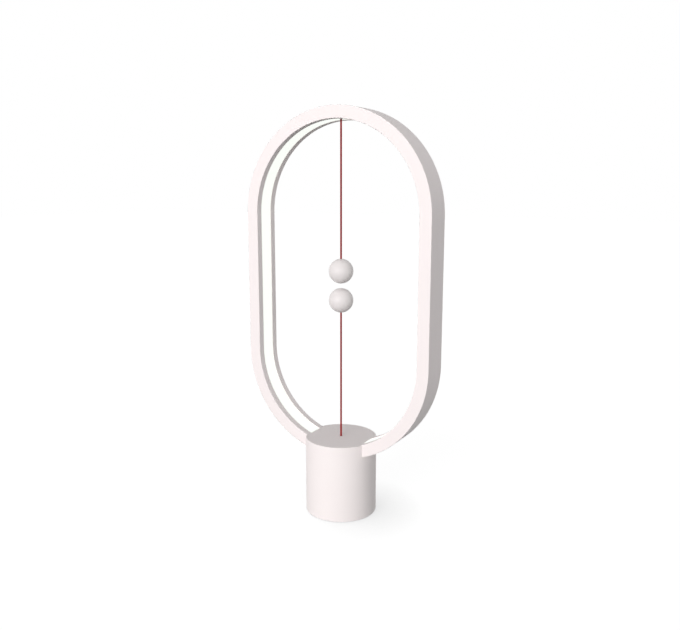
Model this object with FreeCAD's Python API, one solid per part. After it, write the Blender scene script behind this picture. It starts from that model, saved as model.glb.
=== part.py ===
import FreeCAD, Part
import math
import os

# Magnetic balance lamp. A racetrack-shaped loop of lit channel stands in a round weighted base.
# The upper ball hangs on a cord from the top of the loop, the lower ball is tethered by a cord
# to a pull switch in the base, and the magnets in the two balls hold them apart in mid-air.
# Millimetres. Origin: centre of the foot on the table. +X across the loop, -Y front, +Z up.

V = FreeCAD.Vector

# ---- Driving sizes: loop ----
FRAME_WIDTH = 200.0            # outside of the loop, left to right
FRAME_STRAIGHT = 138.5         # length of each straight side
FRAME_THICKNESS = 12.0         # outer face to inner face
FRAME_DEPTH = 30.0             # front face to back face
FRAME_SINK = 17.5              # the loop's lowest point below the base's top
FRAME_EDGE = 0.6               # rounding of the long edges
CHANNEL_WALL = 2.0             # front, back and outer walls, and the lips
LIP_WIDTH = 7.0                # visible lip each side of the light strip
CORD_HOLE_RADIUS = 2.6         # through the channel's floor and the saddle
LEAD_HOLE_RADIUS = 2.8         # LED leads through the floor and the saddle

# ---- Driving sizes: light ----
DIFFUSER_RECESS = 0.4          # face of the light strip below the lips
DIFFUSER_FLANGE = 2.4          # hidden part behind each lip
DIFFUSER_FLANGE_DEPTH = 1.5
STRIP_END_X = 24.0             # both strips stop here, inside the base
LED_STRIP_WIDTH = 8.0
LED_STRIP_THICKNESS = 0.4
LED_PITCH = 14.0
LED_LENGTH = 3.5
LED_WIDTH = 2.8
LED_HEIGHT = 0.8
WIRE_RADIUS = 0.55
WIRE_SPACING = 2.4
WIRE_BEND = 3.0
WIRE_RISE = 0.5                # LED leads above the strip's end

# ---- Driving sizes: cords and balls ----
CORD_DIAMETER = 1.8
CORD_NECK_RADIUS = 0.6         # the bend in the cord at each pivot
UPPER_CORD_LENGTH = 130.3      # loop's inner face to the top of the upper ball
UPPER_PIVOT_BELOW = 0.8        # pivot of the hanging cord below its bush
LOWER_PIVOT_BELOW = 0.4        # pivot of the tethered cord below the base's top
BALL_DIAMETER = 24.0
BALL_GAP = 4.6                 # air between the two balls
BALL_WALL = 1.6
BALL_LIP_HEIGHT = 1.4          # spigot that joins the two half shells
BALL_LIP_THICKNESS = 0.8
BALL_BOSS_RADIUS = 3.2
BALL_BOSS_DEPTH = 5.4          # from the ball's pole inwards
MAGNET_DIAMETER = 12.0
MAGNET_THICKNESS = 5.0
MAGNET_COVER = 2.8             # plastic between the magnet and the ball's pole
MAGNET_SOCKET_WALL = 1.3
CRIMP_RADIUS = 1.9
CRIMP_LENGTH = 2.4
ANCHOR_RADIUS = 1.9            # upper bush, through the light strip
ANCHOR_FLANGE_RADIUS = 3.4
ANCHOR_FLANGE_THICKNESS = 1.0
ANCHOR_BORE_RADIUS = 1.2
BEAD_RADIUS = 2.0
BEAD_TO_STRIP = 1.5            # air above the stop bead

# ---- Driving sizes: base ----
BASE_DIAMETER = 71.0
BASE_HEIGHT = 77.0
BASE_WALL = 2.4
BASE_EDGE = 0.5
TOP_COVER_THICKNESS = 3.0
LEDGE_WIDTH = 1.8
LEDGE_THICKNESS = 1.7
HOOK_WIDTH = 6.0
HOOK_THICKNESS = 1.6
HOOK_REACH = 1.0
HOOK_HEIGHT = 1.6
RAIL_LENGTH = 36.0             # ribs under the cover that hold the loop down
RAIL_INSET = 0.8
TOP_HOLE_RADIUS = 1.6
TOP_HOLE_SKIN = 1.4            # cover left above the guide bush
GUIDE_RADIUS = 2.6
GUIDE_LENGTH = 5.0
GUIDE_BORE_RADIUS = 1.5
GUIDE_COLLAR_WALL = 1.6
SADDLE_PLATE = 3.0
SADDLE_DROP = 5.5              # plate's underside below the loop's lowest point
SADDLE_LENGTH = 52.0
SADDLE_RIB = 2.4
SADDLE_RIB_COUNT = 4
POST_RADIUS = 3.4
POST_SINK = 0.5                # posts merge into the housing's wall
POST_COUNT = 4
POST_BORE_RADIUS = 1.3
POST_BORE_DEPTH = 10.0
SCREW_RADIUS = 1.2
SCREW_HEAD_RADIUS = 2.5
SCREW_HEAD_HEIGHT = 1.5
SCREW_LENGTH = 9.0
BOTTOM_COVER_THICKNESS = 3.8
BASE_LIFT = 0.6                # housing's rim above the table
PAD_THICKNESS = 1.6
PAD_INSET = 4.5                # pad's edge inside the housing's outer face
PAD_GROOVE_DEPTH = 0.5         # rings moulded in the pad's underside
PAD_GROOVE_WIDTH = 1.0
PAD_GROOVE_COUNT = 3
PAD_GROOVE_PITCH = 3.2
STANDOFF_LENGTH = 3.0
STANDOFF_RADIUS = 2.4
STANDOFF_COUNT = 3
STANDOFF_INSET = 5.4           # stand-offs' centres inside the board's edge
STANDOFF_TURN = 30.0           # degrees from -X to the first stand-off
BOARD_THICKNESS = 1.6
BOARD_TONGUE_WIDTH = 15.0
BOARD_TO_SWITCH = 8.0          # board's top to the switch case
BOARD_SCREW_RADIUS = 0.95
BOARD_SCREW_HEAD_RADIUS = 1.9
BOARD_SCREW_HEAD_HEIGHT = 1.2
BOARD_SCREW_LENGTH = 4.0
DRIVER_CHIP_PLACE = (7.0, -7.0)
DRIVER_CHIP_SIZE = (5.0, 6.0, 1.6)
INDUCTOR_PLACE = (-7.0, -9.0)
INDUCTOR_SIZE = (6.0, 6.0, 3.5)
INPUT_CHIP_X = -9.0
INPUT_CHIP_SIZE = (4.0, 3.0, 1.2)
INPUT_CHIP_TO_SOCKET = 4.0     # in front of the socket's inner end
CAPACITOR_PLACES = ((15.0, -2.0), (15.0, 6.0))
CAPACITOR_RADIUS = 2.5
CAPACITOR_HEIGHT = 5.4
USB_WIDTH = 9.0
USB_HEIGHT = 3.3
USB_DEPTH = 7.4
USB_SHELL = 0.3
USB_TONGUE_WIDTH = 6.7
USB_TONGUE_THICKNESS = 0.7
USB_TONGUE_DEPTH = 5.0
USB_BACK = 0.8
WINDOW_WIDTH = 13.4
WINDOW_HEIGHT = 7.6
WINDOW_CORNER = 2.0

# ---- Driving sizes: pull switch ----
SWITCH_TRAVEL = 1.5
SWITCH_INNER_WIDTH = 12.0
SWITCH_INNER_DEPTH = 9.0
SWITCH_WALL = 1.5
SWITCH_PLATE = 1.8             # top and bottom of the case
SWITCH_FLOOR_GAP = 1.3         # below the lowered slider's crimp
SWITCH_FLANGE = 6.0            # ears each side, for the screws
SWITCH_SCREW_LENGTH = 4.0
SWITCH_BOSS_RADIUS = 2.8
SWITCH_BOSS_HEIGHT = 1.6
SLIDER_WIDTH = 8.4
SLIDER_DEPTH = 6.8
SLIDER_HEIGHT = 5.0
SPRING_SPACE = 5.7             # between the raised slider and the case's top
SPRING_RADIUS = 2.4
SPRING_WIRE_RADIUS = 0.25
SPRING_TURNS = 4.5
BRIDGE_THICKNESS = 0.5
BRIDGE_HEIGHT = 1.2
BRIDGE_BELOW_TOP = 0.3
BRIDGE_REACH = 1.1             # past each side of the slider
CONTACT_THICKNESS = 0.5
CONTACT_WIDTH = 2.0
CONTACT_TAIL = 1.9             # below the case
GUIDE_RIB_DEPTH = 3.0

# ---- Clearances ----
SEAT_GAP = 0.1                 # between pieces that rest on each other's curved faces
FIT_GAP = 0.15                 # between pieces that slot together
SLIDE_GAP = 0.15               # slider in its guides
WALL_GAP = 0.4                 # loose pieces inside the housing
CRIMP_GAP = 0.06               # cord in a crimp or bead
CONTACT_GAP = 0.05             # closed contacts

# ---- Loop ----
OUTER_R = FRAME_WIDTH / 2
INNER_R = OUTER_R - FRAME_THICKNESS
HALF_DEPTH = FRAME_DEPTH / 2
MOUTH_HALF = HALF_DEPTH - LIP_WIDTH
CAVITY_HALF = HALF_DEPTH - CHANNEL_WALL
LIP_BACK_R = INNER_R + CHANNEL_WALL
FLOOR_R = OUTER_R - CHANNEL_WALL
FRAME_BOTTOM_Z = BASE_HEIGHT - FRAME_SINK
LOWER_CENTRE_Z = FRAME_BOTTOM_Z + OUTER_R
UPPER_CENTRE_Z = LOWER_CENTRE_Z + FRAME_STRAIGHT
INNER_TOP_Z = UPPER_CENTRE_Z + INNER_R

# ---- Light ----
DIFFUSER_FACE_R = INNER_R + DIFFUSER_RECESS
DIFFUSER_SHOULDER_R = LIP_BACK_R + SEAT_GAP
DIFFUSER_BACK_R = DIFFUSER_SHOULDER_R + DIFFUSER_FLANGE_DEPTH
LED_STRIP_BACK_R = FLOOR_R - SEAT_GAP
LED_STRIP_FACE_R = LED_STRIP_BACK_R - LED_STRIP_THICKNESS

# ---- Cords and balls ----
CORD_R = CORD_DIAMETER / 2
BALL_R = BALL_DIAMETER / 2
ANCHOR_MOUTH_Z = UPPER_CENTRE_Z + DIFFUSER_FACE_R
ANCHOR_FLANGE_Z = UPPER_CENTRE_Z + DIFFUSER_BACK_R + SEAT_GAP
ANCHOR_TOP_Z = ANCHOR_FLANGE_Z + ANCHOR_FLANGE_THICKNESS
BEAD_TOP_Z = UPPER_CENTRE_Z + LED_STRIP_FACE_R - BEAD_TO_STRIP
UPPER_PIVOT_Z = ANCHOR_MOUTH_Z - UPPER_PIVOT_BELOW
LOWER_PIVOT_Z = BASE_HEIGHT - LOWER_PIVOT_BELOW
UPPER_BALL_Z = INNER_TOP_Z - UPPER_CORD_LENGTH - BALL_R
LOWER_BALL_Z = UPPER_BALL_Z - BALL_DIAMETER - BALL_GAP
BOSS_INNER_Z = BALL_R - BALL_BOSS_DEPTH
CRIMP_TOP_Z = BOSS_INNER_Z - SEAT_GAP
CRIMP_BOTTOM_Z = CRIMP_TOP_Z - CRIMP_LENGTH

# ---- Base ----
BASE_R = BASE_DIAMETER / 2
BASE_INNER_R = BASE_R - BASE_WALL
COVER_R = BASE_INNER_R - SEAT_GAP
LOOSE_R = BASE_INNER_R - WALL_GAP
TOP_COVER_Z = BASE_HEIGHT - TOP_COVER_THICKNESS
LEDGE_TOP_Z = TOP_COVER_Z - SEAT_GAP
LEDGE_BOTTOM_Z = LEDGE_TOP_Z - LEDGE_THICKNESS
LEDGE_R = BASE_INNER_R - LEDGE_WIDTH
GUIDE_TOP_Z = BASE_HEIGHT - TOP_HOLE_SKIN
GUIDE_BOTTOM_Z = GUIDE_TOP_Z - GUIDE_LENGTH
SADDLE_Z = FRAME_BOTTOM_Z - SADDLE_DROP
SADDLE_TOP_Z = SADDLE_Z + SADDLE_PLATE
POST_CIRCLE_R = BASE_INNER_R + POST_SINK - POST_RADIUS
BOTTOM_COVER_TOP_Z = BASE_LIFT + BOTTOM_COVER_THICKNESS

# ---- Switch, measured down from the saddle ----
CASE_INNER_TOP_Z = SADDLE_Z - SWITCH_PLATE
SLIDER_TOP_Z = CASE_INNER_TOP_Z - SPRING_SPACE
SLIDER_Z = SLIDER_TOP_Z - SLIDER_HEIGHT
TAIL_CRIMP_TOP_Z = SLIDER_Z - SEAT_GAP
TAIL_CRIMP_Z = TAIL_CRIMP_TOP_Z - CRIMP_LENGTH
CASE_INNER_Z = TAIL_CRIMP_Z - SWITCH_TRAVEL - SWITCH_FLOOR_GAP
CASE_Z = CASE_INNER_Z - SWITCH_PLATE
CASE_HALF_X = SWITCH_INNER_WIDTH / 2 + SWITCH_WALL
CASE_HALF_Y = SWITCH_INNER_DEPTH / 2 + SWITCH_WALL
SWITCH_SCREW_X = CASE_HALF_X + SWITCH_FLANGE / 2
LEAD_HOLE_X = -(CASE_HALF_X + SWITCH_FLANGE + LEAD_HOLE_RADIUS)
BRIDGE_TOP_Z = SLIDER_TOP_Z - BRIDGE_BELOW_TOP
BRIDGE_HALF_X = SLIDER_WIDTH / 2 + BRIDGE_REACH
CONTACT_PAD_Z = BRIDGE_TOP_Z + CONTACT_GAP
CONTACT_TAIL_Z = CASE_Z - CONTACT_TAIL
CONTACT_OUTER_X = SWITCH_INNER_WIDTH / 2 - SEAT_GAP
CONTACT_INNER_X = SLIDER_WIDTH / 2 + SLIDE_GAP
CONTACT_FRONT_Y = SWITCH_INNER_DEPTH / 2 - SEAT_GAP - CONTACT_WIDTH

# ---- Board and ballast, measured down from the switch ----
BOARD_TOP_Z = CASE_Z - BOARD_TO_SWITCH
BOARD_Z = BOARD_TOP_Z - BOARD_THICKNESS
BALLAST_TOP_Z = BOARD_Z - STANDOFF_LENGTH
BOARD_R = POST_CIRCLE_R - POST_RADIUS - WALL_GAP
STANDOFF_CIRCLE_R = BOARD_R - STANDOFF_INSET
USB_OUTER_Y = LOOSE_R
USB_INNER_Y = USB_OUTER_Y - USB_DEPTH
USB_CENTRE_Z = BOARD_TOP_Z + USB_HEIGHT / 2
INPUT_CHIP_PLACE = (INPUT_CHIP_X, USB_INNER_Y - INPUT_CHIP_TO_SOCKET)

# ---- Foot ----
PAD_R = BASE_R - PAD_INSET
PAD_SEAT_Z = PAD_THICKNESS + SCREW_HEAD_HEIGHT + SEAT_GAP

# ---- Screws: shank radius, head radius, head height ----
CASE_SCREW = (SCREW_RADIUS, SCREW_HEAD_RADIUS, SCREW_HEAD_HEIGHT)
SMALL_SCREW = (BOARD_SCREW_RADIUS, BOARD_SCREW_HEAD_RADIUS, BOARD_SCREW_HEAD_HEIGHT)


def bar(radius, bottom, top, x=0.0, y=0.0):
    """An upright round bar."""
    return Part.makeCylinder(radius, top - bottom, V(x, y, bottom))


def tube(radius, bore, bottom, top, x=0.0, y=0.0):
    """An upright round tube."""
    return bar(radius, bottom, top, x, y).cut(bar(bore, bottom, top, x, y))


def block(x_low, x_high, y_low, y_high, z_low, z_high):
    """A box between six planes."""
    return Part.makeBox(x_high - x_low, y_high - y_low, z_high - z_low, V(x_low, y_low, z_low))


def loop_solid(radius, half_width):
    """The racetrack at one radius about its two arc centres, half_width each way along Y."""
    front = -half_width
    right_low = V(radius, front, LOWER_CENTRE_Z)
    right_high = V(radius, front, UPPER_CENTRE_Z)
    top = V(0, front, UPPER_CENTRE_Z + radius)
    left_high = V(-radius, front, UPPER_CENTRE_Z)
    left_low = V(-radius, front, LOWER_CENTRE_Z)
    bottom = V(0, front, LOWER_CENTRE_Z - radius)
    edges = [
        Part.LineSegment(right_low, right_high).toShape(),
        Part.Arc(right_high, top, left_high).toShape(),
        Part.LineSegment(left_high, left_low).toShape(),
        Part.Arc(left_low, bottom, right_low).toShape(),
    ]
    return Part.Face(Part.Wire(edges)).extrude(V(0, 2 * half_width, 0))


def loop_band(inner, outer, half_width):
    """A racetrack ring between two radii."""
    return loop_solid(outer, half_width).cut(loop_solid(inner, half_width))


def inside_base():
    """The stretch of the loop, hidden in the base, where the light strips stop."""
    return block(-STRIP_END_X, STRIP_END_X, -HALF_DEPTH, HALF_DEPTH, FRAME_BOTTOM_Z, LOWER_CENTRE_Z)


def ring_points(count, radius, first_degrees):
    """Points spread evenly on a circle about the axis."""
    points = []
    for index in range(count):
        turn = math.radians(first_degrees + index * 360.0 / count)
        points.append((radius * math.cos(turn), radius * math.sin(turn)))
    return points


def post_points():
    """The housing's screw posts, half way between the loop's arms and the socket."""
    return ring_points(POST_COUNT, POST_CIRCLE_R, 180.0 / POST_COUNT)


def pan_screw(sizes, x, y, seat, length, upward):
    """A pan-head screw with its head on the seat; upward says which way the shank goes."""
    shank, head, rise = sizes
    if upward:
        shape = bar(shank, seat, seat + length, x, y).fuse(bar(head, seat - rise, seat, x, y))
    else:
        shape = bar(shank, seat - length, seat, x, y).fuse(bar(head, seat, seat + rise, x, y))
    return shape.removeSplitter()


def bent_wire(points, bend, radius):
    """A round wire through a corner: run, tangent arc, run."""
    start, corner, end = points
    back = (start - corner).normalize()
    forward = (end - corner).normalize()
    middle = (back + forward).normalize()
    half_turn = back.getAngle(forward) / 2
    reach = bend / math.tan(half_turn)
    arc_start = corner + back * reach
    arc_end = corner + forward * reach
    arc_middle = corner + middle * (bend / math.sin(half_turn) - bend)
    path = Part.Wire([
        Part.LineSegment(start, arc_start).toShape(),
        Part.Arc(arc_start, arc_middle, arc_end).toShape(),
        Part.LineSegment(arc_end, end).toShape(),
    ])
    section = Part.Wire(Part.makeCircle(radius, start, corner - start))
    return path.makePipeShell([section], True, False)


# ---- Loop and light ----

def frame_channel():
    """One closed channel with two lips, its long edges rounded, and holes where it crosses the base."""
    ring = loop_band(INNER_R, OUTER_R, HALF_DEPTH)
    long_edges = [edge for edge in ring.Edges if abs(abs(edge.CenterOfMass.y) - HALF_DEPTH) < SEAT_GAP]
    ring = ring.makeFillet(FRAME_EDGE, long_edges)
    ring = ring.cut(loop_band(LIP_BACK_R, FLOOR_R, CAVITY_HALF))
    ring = ring.cut(loop_band(INNER_R - CHANNEL_WALL, LIP_BACK_R + CHANNEL_WALL, MOUTH_HALF))
    cord_hole = bar(CORD_HOLE_RADIUS, SADDLE_Z, LOWER_CENTRE_Z)
    lead_hole = bar(LEAD_HOLE_RADIUS, SADDLE_Z, LOWER_CENTRE_Z, LEAD_HOLE_X)
    return ring.cut(cord_hole).cut(lead_hole)


def diffuser_strip():
    """A T-section strip: the lit face between the lips, and a flange behind them."""
    face = loop_band(DIFFUSER_FACE_R, DIFFUSER_BACK_R, MOUTH_HALF - FIT_GAP)
    flange = loop_band(DIFFUSER_SHOULDER_R, DIFFUSER_BACK_R, MOUTH_HALF + DIFFUSER_FLANGE)
    strip = face.fuse(flange).removeSplitter().cut(inside_base())
    return strip.cut(bar(ANCHOR_RADIUS + FIT_GAP, UPPER_CENTRE_Z, UPPER_CENTRE_Z + OUTER_R))


def led_strip():
    """The flexible strip on the channel's floor, facing inwards."""
    return loop_band(LED_STRIP_FACE_R, LED_STRIP_BACK_R, LED_STRIP_WIDTH / 2).cut(inside_base())


def led_chip():
    """One chip at the origin, facing -X, its back on the YZ plane."""
    return block(-LED_HEIGHT, 0, -LED_WIDTH / 2, LED_WIDTH / 2, -LED_LENGTH / 2, LED_LENGTH / 2)


def led_chips():
    """Chips along the right half of the strip, from its end in the base to its top, and their mirror."""
    back_r = LED_STRIP_FACE_R - SEAT_GAP
    start_turn = math.asin(STRIP_END_X / back_r) + LED_LENGTH / back_r
    quarter = math.pi / 2
    lower_length = (quarter - start_turn) * back_r
    total = lower_length + FRAME_STRAIGHT + quarter * back_r
    count = int(total / LED_PITCH)
    chips = []
    for index in range(count):
        along = (index + 0.5) * LED_PITCH
        chip = led_chip()
        if along < lower_length:
            chip.translate(V(back_r, 0, 0))
            chip.rotate(V(0, 0, 0), V(0, 1, 0), math.degrees(quarter - start_turn - along / back_r))
            chip.translate(V(0, 0, LOWER_CENTRE_Z))
        elif along < lower_length + FRAME_STRAIGHT:
            chip.translate(V(back_r, 0, LOWER_CENTRE_Z + along - lower_length))
        else:
            turn = (along - lower_length - FRAME_STRAIGHT) / back_r
            chip.translate(V(back_r, 0, 0))
            chip.rotate(V(0, 0, 0), V(0, 1, 0), -math.degrees(turn))
            chip.translate(V(0, 0, UPPER_CENTRE_Z))
        chips.append(chip)
        chips.append(chip.mirror(V(0, 0, 0), V(1, 0, 0)))
    return Part.makeCompound(chips)


def led_leads():
    """Two wires from the strip's end, down through the floor and the saddle to the board."""
    strip_z = LOWER_CENTRE_Z - math.sqrt(LED_STRIP_FACE_R ** 2 - STRIP_END_X ** 2)
    run_z = strip_z + WIRE_RISE
    wires = []
    for side in (-1, 1):
        y = side * WIRE_SPACING / 2
        start = V(-STRIP_END_X + SEAT_GAP, y, run_z)
        corner = V(LEAD_HOLE_X, y, run_z)
        end = V(LEAD_HOLE_X, y, BOARD_TOP_Z)
        wires.append(bent_wire([start, corner, end], WIRE_BEND, WIRE_RADIUS))
    return Part.makeCompound(wires)


# ---- Upper cord's anchor ----

def upper_anchor():
    """A flanged bush through the light strip at the top of the loop."""
    body = bar(ANCHOR_RADIUS, ANCHOR_MOUTH_Z, ANCHOR_TOP_Z)
    flange = bar(ANCHOR_FLANGE_RADIUS, ANCHOR_FLANGE_Z, ANCHOR_TOP_Z)
    return body.fuse(flange).cut(bar(ANCHOR_BORE_RADIUS, ANCHOR_MOUTH_Z, ANCHOR_TOP_Z))


def upper_stop_bead():
    """The bead crimped on the cord's end, which hangs on the bush."""
    return tube(BEAD_RADIUS, CORD_R + CRIMP_GAP, ANCHOR_TOP_Z + CONTACT_GAP, BEAD_TOP_Z)


def upper_cord_tail():
    """The cord through the bush and the bead."""
    return bar(CORD_R, UPPER_PIVOT_Z + CORD_NECK_RADIUS, BEAD_TOP_Z)


# ---- Balls, made with the cord's pole up, about their own centre ----

def half_shell(upper):
    """Half of the hollow ball."""
    ball = Part.makeSphere(BALL_R).cut(Part.makeSphere(BALL_R - BALL_WALL))
    low, high = (0, BALL_R) if upper else (-BALL_R, 0)
    return ball.common(block(-BALL_R, BALL_R, -BALL_R, BALL_R, low, high))


def ball_cord_half():
    """Upper half shell, with the cord's boss and the spigot that enters the other half."""
    inner = BALL_R - BALL_WALL
    boss = bar(BALL_BOSS_RADIUS, BOSS_INNER_Z, BALL_R).common(Part.makeSphere(BALL_R))
    spigot_r = inner - SEAT_GAP
    spigot = tube(spigot_r, spigot_r - BALL_LIP_THICKNESS, -BALL_LIP_HEIGHT, 0)
    root = tube(inner + BALL_WALL / 2, spigot_r - BALL_LIP_THICKNESS, 0, BALL_LIP_HEIGHT)
    root = root.common(Part.makeSphere(BALL_R - BALL_WALL / 2))
    shape = half_shell(True).fuse([boss, root, spigot]).removeSplitter()
    return shape.cut(bar(CORD_R + FIT_GAP, 0, BALL_R))


def ball_magnet_half():
    """Lower half shell, with the magnet's socket at its pole."""
    socket_r = MAGNET_DIAMETER / 2 + MAGNET_SOCKET_WALL
    floor_z = -BALL_R + MAGNET_COVER
    socket = bar(socket_r, -BALL_R, floor_z + MAGNET_THICKNESS).common(Part.makeSphere(BALL_R))
    pocket = bar(MAGNET_DIAMETER / 2 + SEAT_GAP, floor_z, 0)
    return half_shell(False).fuse(socket).removeSplitter().cut(pocket)


def ball_magnet():
    """The disc magnet, standing on the socket's floor."""
    floor_z = -BALL_R + MAGNET_COVER + CONTACT_GAP
    return bar(MAGNET_DIAMETER / 2, floor_z, floor_z + MAGNET_THICKNESS)


def ball_crimp():
    """The crimp that keeps the cord in the ball's boss."""
    return tube(CRIMP_RADIUS, CORD_R + CRIMP_GAP, CRIMP_BOTTOM_Z, CRIMP_TOP_Z)


def at_upper(shape):
    """Place a ball's piece in the upper ball."""
    return shape.translated(V(0, 0, UPPER_BALL_Z))


def at_lower(shape):
    """Turn a ball's piece over and place it in the lower ball."""
    turned = shape.copy()
    turned.rotate(V(0, 0, 0), V(1, 0, 0), 180)
    return turned.translated(V(0, 0, LOWER_BALL_Z))


def upper_cord():
    """The hanging cord, from its pivot to the crimp in the ball."""
    return bar(CORD_R, UPPER_BALL_Z + CRIMP_BOTTOM_Z, UPPER_PIVOT_Z - CORD_NECK_RADIUS)


def lower_cord():
    """The tethered cord, from its pivot at the base's top to the crimp in the ball."""
    return bar(CORD_R, LOWER_PIVOT_Z + CORD_NECK_RADIUS, LOWER_BALL_Z - CRIMP_BOTTOM_Z)


def cord_bend(pivot_z):
    """The short bend of a cord at its pivot."""
    return Part.makeSphere(CORD_NECK_RADIUS, V(0, 0, pivot_z))


# ---- Base ----

def base_housing():
    """The round shell: ledge for the top cover, four screw posts, slots for the loop's arms, rear window."""
    shell = bar(BASE_R, BASE_LIFT, BASE_HEIGHT)
    rims = [edge for edge in shell.Edges if abs(edge.Length - 2 * math.pi * BASE_R) < SEAT_GAP]
    shell = shell.makeFillet(BASE_EDGE, rims)
    shell = shell.cut(bar(BASE_INNER_R, BASE_LIFT, BASE_HEIGHT))
    overlap_r = BASE_INNER_R + BASE_WALL / 2
    shell = shell.fuse(tube(overlap_r, LEDGE_R, LEDGE_BOTTOM_Z, LEDGE_TOP_Z))
    lower_bore_top = BOTTOM_COVER_TOP_Z + POST_BORE_DEPTH
    upper_bore_bottom = SADDLE_Z - POST_BORE_DEPTH
    posts = []
    for x, y in post_points():
        post = bar(POST_RADIUS, BOTTOM_COVER_TOP_Z, SADDLE_Z, x, y)
        post = post.cut(bar(POST_BORE_RADIUS, BOTTOM_COVER_TOP_Z, lower_bore_top, x, y))
        post = post.cut(bar(POST_BORE_RADIUS, upper_bore_bottom, SADDLE_Z, x, y))
        posts.append(post)
    shell = shell.fuse(posts).removeSplitter()
    shell = shell.cut(loop_solid(OUTER_R + FIT_GAP, HALF_DEPTH + FIT_GAP))
    return shell.cut(rear_window())


def rear_window():
    """The rounded opening in the housing's back for the power plug."""
    half = WINDOW_WIDTH / 2
    low = USB_CENTRE_Z - WINDOW_HEIGHT / 2
    inner_y = LOOSE_R - BASE_WALL
    outer_y = BASE_R + BASE_WALL
    opening = block(-half, half, inner_y, outer_y, low, low + WINDOW_HEIGHT)
    corners = [edge for edge in opening.Edges if abs(edge.Length - (outer_y - inner_y)) < SEAT_GAP]
    return opening.makeFillet(WINDOW_CORNER, corners)


def top_cover():
    """The flush disc: relieved round the loop, ribs that hold the loop down, two snap hooks, guide collar."""
    disc = bar(COVER_R, TOP_COVER_Z, BASE_HEIGHT)
    disc = disc.cut(loop_band(INNER_R - SEAT_GAP, OUTER_R, HALF_DEPTH + FIT_GAP))
    pieces = [bar(GUIDE_RADIUS + GUIDE_COLLAR_WALL, GUIDE_BOTTOM_Z, TOP_COVER_Z)]
    rail_inner = MOUTH_HALF + RAIL_INSET
    rail_outer = HALF_DEPTH - RAIL_INSET
    for side in (-1, 1):
        y_low, y_high = sorted((side * rail_inner, side * rail_outer))
        rail = block(-RAIL_LENGTH / 2, RAIL_LENGTH / 2, y_low, y_high, FRAME_BOTTOM_Z, TOP_COVER_Z)
        pieces.append(rail.common(loop_solid(INNER_R - SEAT_GAP, HALF_DEPTH)))
        pieces.append(snap_hook(side))
    cover = disc.fuse(pieces).removeSplitter()
    cover = cover.cut(bar(GUIDE_RADIUS + CONTACT_GAP, GUIDE_BOTTOM_Z, GUIDE_TOP_Z))
    return cover.cut(bar(TOP_HOLE_RADIUS, GUIDE_BOTTOM_Z, BASE_HEIGHT))


def snap_hook(side):
    """A cantilever hook at the front or back that catches under the housing's ledge."""
    half = HOOK_WIDTH / 2
    arm_outer = math.sqrt((LEDGE_R - FIT_GAP) ** 2 - half ** 2)
    arm_inner = arm_outer - HOOK_THICKNESS
    nose_outer = arm_outer + HOOK_REACH
    nose_top = LEDGE_BOTTOM_Z - FIT_GAP
    arm_y = sorted((side * arm_inner, side * arm_outer))
    nose_y = sorted((side * arm_inner, side * nose_outer))
    arm = block(-half, half, arm_y[0], arm_y[1], nose_top - HOOK_HEIGHT, TOP_COVER_Z)
    nose = block(-half, half, nose_y[0], nose_y[1], nose_top - HOOK_HEIGHT, nose_top)
    return arm.fuse(nose)


def cord_guide():
    """The smooth bush, pressed in the cover from below, that the lower cord runs through."""
    return tube(GUIDE_RADIUS, GUIDE_BORE_RADIUS, GUIDE_BOTTOM_Z, GUIDE_TOP_Z - CONTACT_GAP)


def frame_saddle():
    """The plate on the posts, with two cheeks and cross ribs shaped to the loop's underside."""
    plate = bar(LOOSE_R, SADDLE_Z, SADDLE_TOP_Z)
    half_length = SADDLE_LENGTH / 2
    cheek_outer = HALF_DEPTH - SEAT_GAP
    parts = []
    for side in (-1, 1):
        y_low, y_high = sorted((side * cheek_outer, side * (cheek_outer - SADDLE_RIB)))
        parts.append(block(-half_length, half_length, y_low, y_high, SADDLE_Z, LOWER_CENTRE_Z))
    pitch = (SADDLE_LENGTH - SADDLE_RIB) / (SADDLE_RIB_COUNT - 1)
    for index in range(SADDLE_RIB_COUNT):
        x = -half_length + index * pitch
        parts.append(block(x, x + SADDLE_RIB, -cheek_outer, cheek_outer, SADDLE_Z, LOWER_CENTRE_Z))
    boss_top = SADDLE_TOP_Z + SWITCH_BOSS_HEIGHT
    for side in (-1, 1):
        parts.append(bar(SWITCH_BOSS_RADIUS, SADDLE_Z, boss_top, side * SWITCH_SCREW_X))
    saddle = plate.fuse(parts)
    saddle = saddle.common(bar(LOOSE_R, SADDLE_Z, LOWER_CENTRE_Z)).removeSplitter()
    saddle = saddle.cut(loop_solid(OUTER_R + SEAT_GAP, FRAME_DEPTH))
    saddle = saddle.cut(bar(CORD_HOLE_RADIUS, SADDLE_Z, LOWER_CENTRE_Z))
    saddle = saddle.cut(bar(LEAD_HOLE_RADIUS, SADDLE_Z, LOWER_CENTRE_Z, LEAD_HOLE_X))
    for x, y in post_points():
        saddle = saddle.cut(bar(SCREW_RADIUS + FIT_GAP, SADDLE_Z, SADDLE_TOP_Z, x, y))
    pilot_r = BOARD_SCREW_RADIUS + CONTACT_GAP
    pilot_top = SADDLE_Z + SWITCH_SCREW_LENGTH
    for side in (-1, 1):
        saddle = saddle.cut(bar(pilot_r, SADDLE_Z, pilot_top, side * SWITCH_SCREW_X))
    return saddle


def saddle_screws():
    """Four screws down through the saddle into the posts."""
    screws = []
    for x, y in post_points():
        screws.append(pan_screw(CASE_SCREW, x, y, SADDLE_TOP_Z, SCREW_LENGTH, False))
    return Part.makeCompound(screws)


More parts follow.
